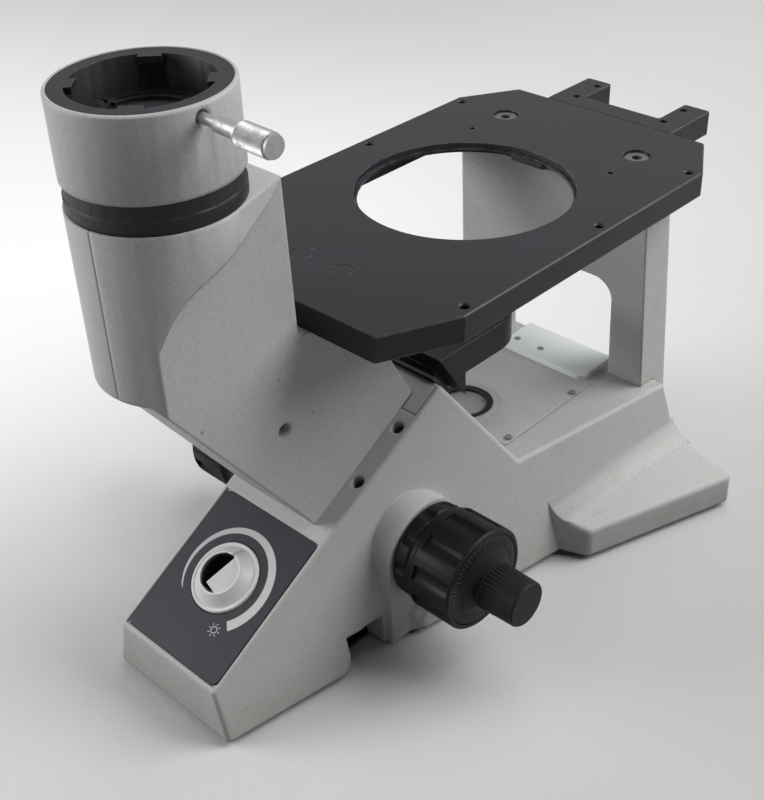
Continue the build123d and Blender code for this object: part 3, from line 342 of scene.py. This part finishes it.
def moulded_black(name, colour, rough, worn):
    """Black plastic with a fine eroded skin and a little dust; its edges are worn times lighter, partly
    rubbed wear and partly a painted highlight on the ridges.
    """
    finish = new_finish(name)
    skin = finish.noise(2400.0, roughness=0.6)
    dust = finish.band(finish.noise(180.0, detail=5.0, roughness=0.7), 0.5, 0.8)
    base = finish.mix(dust * 0.3, shade(colour), shade(colour, 2.2))
    return finish.surface(
        # Lighter edges: rubbed wear together with a painted highlight on ridges and lobes.
        Base_Color=finish.mix(finish.edge(KNOB_WEAR_AND_HIGHLIGHT_EDGE) * 0.5, base, shade(colour, worn)),
        Roughness=dust * 0.15 + rough,
        Normal=finish.bump(skin, 0.25, 0.00012),
        Specular_IOR_Level=0.15,
    )


def dial_plastic(colours, dial_place):
    """Pale dial plastic, with painted shade: knob black inside the open half of the finger well."""
    finish = new_finish("dial_plastic")
    inverse = dial_place.inverted()
    side = finish.along(inverse[0])
    up = finish.along(inverse[1])
    inside = 1 - finish.band(side * side + up * up, WELL_RIM[0] ** 2, WELL_RIM[1] ** 2)
    # Painted shade: the open half of the finger well is coloured knob black, standing in for the shade of the
    # recess.
    shadow = inside * (1 - finish.band(side, *GRIP_EDGE))
    tone = finish.noise(160.0, detail=4.0)
    skin = finish.noise(2600.0)
    base = finish.mix(tone, shade(colours.dial, 0.92), shade(colours.dial, 1.06))
    pale = finish.mix(finish.edge(DIAL_RUB_EDGE) * 0.3, base, shade(colours.dial, 1.35))
    return finish.surface(
        Base_Color=finish.mix(shadow, pale, shade(colours.knob)),
        Roughness=tone * 0.15 + 0.33,
        Normal=finish.bump(skin, 0.12, 0.0001),
    )


def print_film(colours):
    """Charcoal control film with a fine grain and a few specks."""
    finish = new_finish("panel_film")
    grain = finish.noise(1900.0, roughness=0.6)
    cloud = finish.noise(30.0, detail=3.0)
    speck = finish.band(finish.noise(420.0, detail=3.0, roughness=0.7), 0.68, 0.74)
    base = finish.mix(cloud, shade(colours.panel, 0.85), shade(colours.panel, 1.2))
    return finish.surface(
        Base_Color=finish.mix(speck * 0.4, base, shade(colours.panel, 3.0)),
        Roughness=cloud * 0.1 + 0.45,
        Normal=finish.bump(grain, 0.15, 0.0001),
        Specular_IOR_Level=0.27,
    )


def print_ink(name, colour):
    """Flat ink, a little worn."""
    finish = new_finish(name)
    worn = finish.band(finish.noise(700.0, detail=4.0, roughness=0.7), 0.6, 0.8)
    return finish.surface(
        Base_Color=finish.mix(worn * 0.35, shade(colour), shade(colour, 0.5)),
        Roughness=worn * 0.1 + 0.45,
    )


def turned_metal(name, colour, rough, lines):
    """Turned steel or brass with tool lines and a few dull patches."""
    finish = new_finish(name)
    tooling = finish.noise(700.0, stretch=lines)
    dull = finish.band(finish.noise(220.0, detail=4.0, roughness=0.7), 0.45, 0.75)
    return finish.surface(
        Base_Color=finish.mix(dull * 0.5, shade(colour), shade(colour, 0.55)),
        Metallic=1.0,
        Roughness=dull * 0.22 + rough,
        Normal=finish.bump(tooling, 0.2, 0.00008),
    )


def plate_lit_paint(colours):
    """Pale paint of the rear plate, painted paler than its own grey as painted light in the shade of the
    stage.
    """
    finish = new_finish("plate_grey")
    tone = finish.noise(60.0, detail=4.0)
    return finish.surface(
        # Painted light: both tones are paler than the plate's own grey, lighting it in the stage's shade.
        Base_Color=finish.mix(tone, shade(colours.plate_lit_low), shade(colours.plate_lit_high)),
        Roughness=tone * 0.1 + 0.4,
        Normal=finish.bump(finish.noise(1500.0), 0.15, 0.0001),
    )


def coated_glass(name, colours, colour):
    """Tinted glass with a film of dust."""
    finish = new_finish(name)
    dust = finish.band(finish.noise(260.0, detail=4.0, roughness=0.7), 0.62, 0.8)
    return finish.surface(
        Base_Color=finish.mix(dust * 0.4, shade(colour), shade(colours.dust)),
        Roughness=dust * 0.2 + 0.04,
        Alpha=dust * 0.1 + 0.42,
        Coat_Weight=0.6,
        IOR=1.5,
    )


def silvered(colours):
    """Silvered glass with a little haze."""
    finish = new_finish("mirror")
    haze = finish.band(finish.noise(120.0, detail=4.0, roughness=0.7), 0.6, 0.85)
    return finish.surface(
        Base_Color=finish.mix(haze * 0.3, shade(colours.silver), shade(colours.dust)),
        Metallic=1.0,
        Roughness=haze * 0.2 + 0.03,
    )


def foot_rubber(colours):
    """Dull black rubber."""
    finish = new_finish("rubber")
    skin = finish.noise(900.0, detail=3.0, roughness=0.6)
    return finish.surface(
        Base_Color=finish.mix(skin, shade(colours.rubber, 0.4), shade(colours.rubber)),
        Roughness=skin * 0.15 + 0.7,
        Normal=finish.bump(skin, 0.3, 0.0002),
    )


def floor_white():
    """Plain pale floor with painted light: its tone is painted palest at the left and front and darker to the
    right and back, and it fades out far from the stand.
    """
    finish = new_finish("floor_white")
    side = finish.part("X")
    depth = finish.part("Y")
    tone = finish.mix(finish.noise(6.0, detail=3.0), shade(FLOOR_DIM), shade(FLOOR_MIDDLE))
    # Painted light and shade: the tone is painted pale towards the left and front and darker to the right and
    # back.
    lit = finish.band(side, *FLOOR_SIDES) * (1 - finish.band(depth, *FLOOR_DEPTHS) * 0.5)
    pale = finish.mix(lit, tone, shade(FLOOR_PAINTED_LIGHT))
    return finish.surface(
        Base_Color=finish.mix(finish.seen(), shade(FLOOR_BOUNCE), pale),
        Roughness=0.6,
        Alpha=1 - finish.band(side * side + depth * depth, *FLOOR_FADE),
        Normal=finish.bump(finish.noise(260.0), 0.2, 0.001),
    )


def clothe(names, material):
    """Gives CAD nodes this finish."""
    for name in names:
        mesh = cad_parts[name].data
        mesh.materials.clear()
        mesh.materials.append(material)


def soften(names, width):
    """Breaks the sharp edges of CAD nodes with a small rounded bevel."""
    for name in names:
        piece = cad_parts[name]
        weld = piece.modifiers.new("join_faces", "WELD")
        weld.merge_threshold = WELD_GAP
        bevel = piece.modifiers.new("soft_edges", "BEVEL")
        bevel.width = width
        bevel.segments = EDGE_SEGMENTS
        bevel.limit_method = "ANGLE"
        bevel.angle_limit = EDGE_ANGLE
        bevel.harden_normals = True
        bevel.use_clamp_overlap = True


def slope_frame(y, lift):
    """A place on the front slope, at y along the row and lift metres above it: X across, Y up, Z out."""
    height = SLOPE_HEIGHT + math.tan(SLOPE_ANGLE) * (y - OPTICAL_Y)
    turn = Matrix.Rotation(SLOPE_ANGLE, 4, "X")
    out = turn @ Vector((0.0, 0.0, 1.0))
    return Matrix.Translation(Vector((0.0, y, height)) + out * lift) @ turn


def polar(radius, angle):
    return Vector((radius * math.cos(angle), radius * math.sin(angle)))


def strip_corners(start, stop, half):
    """Corners of a straight strip that reaches half to each side."""
    return [start - half, stop - half, stop + half, start + half]


def closed_plate(made, low_corners, high_corners):
    """Adds a closed plate between two outlines with as many corners."""
    low = [made.verts.new(corner) for corner in low_corners]
    high = [made.verts.new(corner) for corner in high_corners]
    made.faces.new(list(reversed(low)))
    made.faces.new(high)
    for index in range(len(low)):
        after = (index + 1) % len(low)
        made.faces.new((low[index], low[after], high[after], high[index]))


def printed_patch(made, outline):
    """Adds one patch of ink with this outline."""
    low = [(x, y, 0.0) for x, y in outline]
    high = [(x, y, PRINT_THICK) for x, y in outline]
    closed_plate(made, low, high)


def scale_marks():
    """Marks round the flange of a fine knob, with the rim's centre at the origin and Z to the knob's end."""
    made = bmesh.new()
    top = Vector((0.0, 0.0, FLANGE_R * FLANGE_FALL))
    lift = Vector((0.0, 0.0, MARK_LIFT))
    for index in range(MARK_COUNT):
        turn = math.tau * index / MARK_COUNT
        along = Vector((math.cos(turn), math.sin(turn), -FLANGE_FALL)) * FLANGE_R
        half = Vector((-math.sin(turn), math.cos(turn), 0.0)) * MARK_HALF
        inner = MARK_LONG_START if index % MARK_LONG_EVERY == 0 else MARK_START
        corners = strip_corners(top + along * inner, top + along * MARK_STOP, half)
        closed_plate(made, [corner - lift for corner in corners], [corner + lift for corner in corners])
    return made


def printed_arc(inner):
    """Arc round the dial that widens from a thin start."""
    made = bmesh.new()
    rim = []
    inside = []
    for index in range(ARC_STEPS + 1):
        share = index / ARC_STEPS
        angle = ARC_START - ARC_SWEEP * share
        outer = inner + ARC_THIN + ARC_GAIN * share ** ARC_CURVE
        rim.append(polar(outer, angle))
        inside.append(polar(inner, angle))
    printed_patch(made, rim + list(reversed(inside)))
    return made


def sun_sign():
    """Small ring with rays."""
    made = bmesh.new()
    angles = [math.tau * index / SUN_STEPS for index in range(SUN_STEPS + 1)]
    for angle, after in zip(angles, angles[1:]):
        outer = [polar(SUN_R, angle), polar(SUN_R, after)]
        inner = [polar(SUN_HOLE_R, after), polar(SUN_HOLE_R, angle)]
        printed_patch(made, outer + inner)
    for index in range(RAY_COUNT):
        along = polar(1.0, math.tau * index / RAY_COUNT)
        half = Vector((-along.y, along.x)) * RAY_HALF
        printed_patch(made, strip_corners(along * RAY_START, along * RAY_STOP, half))
    return made


def add_piece(name, made, body, material, place):
    """Makes a new piece from a bmesh, sets it in its place on its body and gives it its finish."""
    bmesh.ops.recalc_face_normals(made, faces=made.faces)
    mesh = bpy.data.meshes.new(name)
    made.to_mesh(mesh)
    made.free()
    mesh.materials.append(material)
    piece = bpy.data.objects.new(name, mesh)
    bpy.context.scene.collection.objects.link(piece)
    piece.matrix_world = place
    bpy.context.view_layer.update()
    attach(piece, body)


def lay_floor(scene):
    made = bmesh.new()
    bmesh.ops.create_grid(made, x_segments=1, y_segments=1, size=FLOOR_HALF)
    mesh = bpy.data.meshes.new("floor")
    made.to_mesh(mesh)
    made.free()
    mesh.materials.append(floor_white())
    floor = bpy.data.objects.new("floor", mesh)
    floor.location = (0.0, 0.0, -FLOOR_DROP)
    scene.collection.objects.link(floor)


def hang_sky(scene):
    """An even sky: faint as light, pale where it is seen."""
    sky = Finish(bpy.data.worlds.new("studio"))
    strength = sky.seen() * (SKY_SEEN - SKY_LIGHT) + SKY_LIGHT
    glow = sky.node("ShaderNodeBackground", {}, {"Color": (1.0, 1.0, 1.0, 1.0), "Strength": strength})
    sky.node("ShaderNodeOutputWorld", {}, {"Surface": glow})
    scene.world = sky.owner


def hang_lamps(scene):
    """Round soft lamps, all turned to LAMP_AIM."""
    for name, place, size, power in LAMPS:
        light = bpy.data.lights.new(name, "AREA")
        light.shape = "DISK"
        light.size = size
        light.energy = power
        lamp = bpy.data.objects.new(name, light)
        turn = (LAMP_AIM - place).to_track_quat("-Z", "Y")
        lamp.matrix_world = Matrix.Translation(place) @ turn.to_matrix().to_4x4()
        lamp.visible_camera = False
        scene.collection.objects.link(lamp)


def set_camera(scene):
    """The camera at the photograph's viewing angle."""
    right = Vector((math.cos(CAMERA_TURN), math.sin(CAMERA_TURN), 0.0))
    level = Vector((-math.sin(CAMERA_TURN), math.cos(CAMERA_TURN), 0.0))
    ahead = level * math.cos(CAMERA_DROP) - Vector((0.0, 0.0, math.sin(CAMERA_DROP)))
    up = right.cross(ahead)
    across = right * math.cos(CAMERA_ROLL) + up * math.sin(CAMERA_ROLL)
    above = up * math.cos(CAMERA_ROLL) - right * math.sin(CAMERA_ROLL)
    camera = bpy.data.cameras.new("photo_camera")
    camera.lens = scene.microscope_sizes.lens
    camera.sensor_width = CAMERA_SENSOR
    camera.clip_start = CAMERA_NEAR
    holder = bpy.data.objects.new("photo_camera", camera)
    axes = Matrix((across, above, -ahead)).transposed().to_4x4()
    holder.matrix_world = Matrix.Translation(CAMERA_PLACE) @ axes
    scene.collection.objects.link(holder)
    scene.camera = holder


def colour_value(name, description, default):
    return bpy.props.FloatVectorProperty(name=name, description=description, default=default, subtype="COLOR")


def size_value(name, description, default, unit="LENGTH"):
    return bpy.props.FloatProperty(name=name, description=description, default=default, unit=unit)


class MicroscopeColours(bpy.types.PropertyGroup):
    """Colours of the finishes"""

    paint: colour_value("Body paint", "Castings and tube ring", (0.46, 0.466, 0.449))
    grime_and_low_darkening: colour_value("Grime", "Handling dirt on the paint", (0.22, 0.21, 0.185))
    chip: colour_value("Chips", "Metal where the paint is knocked off", (0.07, 0.068, 0.066))
    stage: colour_value("Stage", "Stage plate", (0.0115, 0.0115, 0.0155))
    dark: colour_value("Dark metal", "Carriage, spacer and fork", (0.011, 0.011, 0.0135))
    bare: colour_value("Bare metal", "Rubbed edges of the black metal", (0.32, 0.32, 0.33))
    panel: colour_value("Control film", "Film on the front slope", (0.014, 0.016, 0.024))
    ink: colour_value("Printing", "Arc and sun sign", (0.5, 0.51, 0.51))
    dial: colour_value("Lamp dial", "Pale dial plastic", (0.7, 0.705, 0.69))
    knob: colour_value("Knobs", "Focus knobs", (0.009, 0.009, 0.0105))
    steel: colour_value("Steel", "Shafts and clamp screw", (0.38, 0.37, 0.37))
    brass: colour_value("Brass", "Bushings and rack", (0.66, 0.5, 0.26))
    black_steel: colour_value("Black steel", "Sunk bolts", (0.05, 0.05, 0.052))
    bolt: colour_value("Stage bolts", "Bolts at the rear of the stage", (0.17, 0.17, 0.175))
    screw: colour_value("Screws", "Small screws on the deck", (0.3, 0.3, 0.29))
    # Both rear-plate tones are painted paler than the plate's own grey, as painted light under the stage.
    plate_lit_low: colour_value("Rear plate, darker", "Darker tone of the rear plate", (0.64, 0.68, 0.655))
    plate_lit_high: colour_value("Rear plate, paler", "Paler tone of the rear plate", (0.72, 0.755, 0.73))
    port_glass: colour_value("Port glass", "Glass of the light port", (0.55, 0.58, 0.56))
    tube_glass: colour_value("Tube lens", "Lens in the tube socket", (0.12, 0.14, 0.16))
    silver: colour_value("Silver", "Mirrors", (0.85, 0.85, 0.87))
    dust: colour_value("Dust", "Dust and haze on glass and mirrors", (0.5, 0.5, 0.5))
    rubber: colour_value("Rubber", "Feet", (0.05, 0.05, 0.05))


class MicroscopeSizes(bpy.types.PropertyGroup):
    """Sizes of the finishes, the printing and the camera"""

    edge_round: size_value("Casting edges", "Rounding of painted edges", 0.0009)
    plate_round: size_value("Metal edges", "Rounding of machined edges", 0.0003)
    dial_y: size_value("Dial place", "Dial centre along the row", -0.1449)
    arc_radius: size_value("Arc", "Inner radius of the printed arc", 0.0229)
    lens: size_value("Lens", "Focal length of the camera", 57.7, "CAMERA")


class MICROSCOPE_OT_castings(bpy.types.Operator):
    """Paints the castings and breaks their edges"""

    bl_idname = "microscope.castings"
    bl_label = "Castings"

    def execute(self, context):
        sizes = context.scene.microscope_sizes
        large = ["base_casting", "arm_casting", "portal"]
        small = ["arm_front_cover", "tube_ring", "ridge_cover", "deck_cover"]
        clothe(large + small, grained_paint(context.scene.microscope_colours))
        soften(large, sizes.edge_round)
        soften(small, sizes.plate_round)
        return {"FINISHED"}


class MICROSCOPE_OT_stage_plate(bpy.types.Operator):
    """Blackens the stage plate, its plugs and the fork behind it"""

    bl_idname = "microscope.stage_plate"
    bl_label = "Stage Plate"

    def execute(self, context):
        colours = context.scene.microscope_colours
        black = worn_black(
            "stage_black", colours, colours.stage, rough=0.34, bright=0.7, grain=1500.0, depth=0.12
        )
        clothe(["stage_plate", "stage_plugs"], black)
        black = worn_black(
            "fork_black", colours, colours.dark, rough=0.36, bright=0.6, grain=1300.0, depth=0.15
        )
        clothe(["rear_bracket"], black)
        soften(["stage_plate", "rear_bracket"], context.scene.microscope_sizes.plate_round)
        return {"FINISHED"}


class MICROSCOPE_OT_dark_metal(bpy.types.Operator):
    """Finishes the dark rings, the carriage and the hidden holders"""

    bl_idname = "microscope.dark_metal"
    bl_label = "Dark Metal"

    def execute(self, context):
        colours = context.scene.microscope_colours
        black = worn_black(
            "dark_metal", colours, colours.dark, rough=0.42, bright=0.35, grain=1700.0, depth=0.18
        )
        softened = ["arm_spacer", "nosepiece_carriage", "tube_flange"]
        clothe(softened + ["lens_retainer", "carriage_seal", "light_port"], black)
        clothe(["mirror_block", "arm_mirror_block", "bottom_cover"], black)
        soften(softened, context.scene.microscope_sizes.plate_round)
        return {"FINISHED"}


class MICROSCOPE_OT_knobs(bpy.types.Operator):
    """Finishes the focus knobs, the tension ring and the inner plastic, and marks the fine knobs"""

    bl_idname = "microscope.knobs"
    bl_label = "Focus Knobs"

    def execute(self, context):
        colours = context.scene.microscope_colours
        lobed = ["coarse_knob_right", "coarse_knob_left", "tension_ring"]
        fluted = ["fine_knob_right", "fine_knob_left"]
        inner = ["dial_control", "power_inlet"]
        clothe(lobed, moulded_black("knob_plastic", colours.knob, rough=0.42, worn=3.2))
        # Painted highlight: the flute ridges of the fine knobs are painted eight times lighter, on top of
        # their rubbed wear.
        clothe(fluted, moulded_black("fine_plastic", colours.knob, rough=0.5, worn=8.0))
        clothe(inner, moulded_black("inner_plastic", colours.knob, rough=0.55, worn=3.0))
        soften(lobed, context.scene.microscope_sizes.plate_round)
        ink = print_ink("scale_ink", shade(colours.ink, MARK_SHADE))
        for side, sign in (("right", 1.0), ("left", -1.0)):
            low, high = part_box("fine_knob_" + side)
            end = high.x if sign > 0 else low.x
            rim = Vector((end - sign * FLANGE_DEPTH, (low.y + high.y) / 2, (low.z + high.z) / 2))
            place = Matrix.Translation(rim) @ Matrix.Rotation(sign * math.pi / 2, 4, "Y")
            add_piece("scale_marks_" + side, scale_marks(), "fine_drive", ink, place)
        return {"FINISHED"}


class MICROSCOPE_OT_control_panel(bpy.types.Operator):
    """Finishes the control film and dial and prints the arc and the sun sign"""

    bl_idname = "microscope.control_panel"
    bl_label = "Control Panel"

    def execute(self, context):
        colours = context.scene.microscope_colours
        sizes = context.scene.microscope_sizes
        clothe(["panel_plate"], print_film(colours))
        grip_place = slope_frame(sizes.dial_y, 0.0) @ Matrix.Rotation(GRIP_TURN, 4, "Z")
        clothe(["light_dial"], dial_plastic(colours, grip_place))
        soften(["light_dial"], sizes.plate_round)
        ink = print_ink("panel_ink", colours.ink)
        place = slope_frame(sizes.dial_y, PRINT_LIFT)
        add_piece("printed_arc", printed_arc(sizes.arc_radius), "stand", ink, place)
        beside = Matrix.Translation(polar(SUN_REACH, SUN_TURN).to_3d())
        add_piece("sun_sign", sun_sign(), "stand", ink, place @ beside)
        return {"FINISHED"}


class MICROSCOPE_OT_fasteners(bpy.types.Operator):
    """Finishes bolts, screws, shafts and the clamp screw"""

    bl_idname = "microscope.fasteners"
    bl_label = "Fasteners"

    def execute(self, context):
        colours = context.scene.microscope_colours
        bright = ["thumb_screw", "bottom_screws"]
        plain = ["coarse_shaft", "fine_shaft", "focus_guide", "focus_slide"]
        sunk = ["arm_bolts", "stage_front_bolts", "bracket_bolts"]
        clothe(bright, turned_metal("bright_steel", colours.steel, 0.5, LINES_ALONG_X))
        clothe(plain, turned_metal("plain_steel", colours.steel, 0.3, LINES_ACROSS_X))
        clothe(["focus_bushings", "focus_rack"], turned_metal("brass", colours.brass, 0.3, LINES_ACROSS_X))
        clothe(sunk, turned_metal("black_steel", colours.black_steel, 0.4, LINES_ACROSS_Z))
        clothe(["stage_bolts"], turned_metal("bolt_steel", colours.bolt, 0.5, LINES_ACROSS_Z))
        small = ["deck_screws", "rear_plate_screws"]
        clothe(small, turned_metal("dull_steel", colours.screw, 0.5, LINES_ACROSS_Z))
        return {"FINISHED"}


class MICROSCOPE_OT_small_parts(bpy.types.Operator):
    """Finishes the rear plate, the glass, the mirrors and the feet"""

    bl_idname = "microscope.small_parts"
    bl_label = "Small Parts"

    def execute(self, context):
        colours = context.scene.microscope_colours
        clothe(["rear_plate"], plate_lit_paint(colours))
        clothe(["port_glass"], coated_glass("dust_glass", colours, colours.port_glass))
        clothe(["tube_lens"], coated_glass("tube_glass", colours, colours.tube_glass))
        clothe(["base_mirror", "arm_mirror"], silvered(colours))
        clothe(["base_feet"], foot_rubber(colours))
        return {"FINISHED"}


class MICROSCOPE_OT_studio(bpy.types.Operator):
    """Sets the floor, the lights and the camera"""

    bl_idname = "microscope.studio"
    bl_label = "Studio"

    def execute(self, context):
        scene = context.scene
        scene.view_settings.view_transform = "Standard"
        lay_floor(scene)
        hang_sky(scene)
        hang_lamps(scene)
        set_camera(scene)
        return {"FINISHED"}


class MICROSCOPE_PT_finish(bpy.types.Panel):
    """Lists the steps and their values"""

    bl_label = "Microscope Finish"
    bl_idname = "MICROSCOPE_PT_finish"
    bl_space_type = "VIEW_3D"
    bl_region_type = "UI"
    bl_category = "Microscope"

    def draw(self, context):
        for group in (context.scene.microscope_colours, context.scene.microscope_sizes):
            for name in group.__annotations__:
                self.layout.prop(group, name)
        for step in STEPS:
            self.layout.operator(step.bl_idname)


STEPS = (
    MICROSCOPE_OT_castings,
    MICROSCOPE_OT_stage_plate,
    MICROSCOPE_OT_dark_metal,
    MICROSCOPE_OT_knobs,
    MICROSCOPE_OT_control_panel,
    MICROSCOPE_OT_fasteners,
    MICROSCOPE_OT_small_parts,
    MICROSCOPE_OT_studio,
)
CLASSES = (MicroscopeColours, MicroscopeSizes, MICROSCOPE_PT_finish) + STEPS


def register():
    for entry in CLASSES:
        bpy.utils.register_class(entry)
    bpy.types.Scene.microscope_colours = bpy.props.PointerProperty(type=MicroscopeColours)
    bpy.types.Scene.microscope_sizes = bpy.props.PointerProperty(type=MicroscopeSizes)


def unregister():
    del bpy.types.Scene.microscope_sizes
    del bpy.types.Scene.microscope_colours
    for entry in reversed(CLASSES):
        bpy.utils.unregister_class(entry)


def main():
    register()
    bpy.ops.microscope.castings()
    bpy.ops.microscope.stage_plate()
    bpy.ops.microscope.dark_metal()
    bpy.ops.microscope.knobs()
    bpy.ops.microscope.control_panel()
    bpy.ops.microscope.fasteners()
    bpy.ops.microscope.small_parts()
    bpy.ops.microscope.studio()


if __name__ == "__main__":
    main()
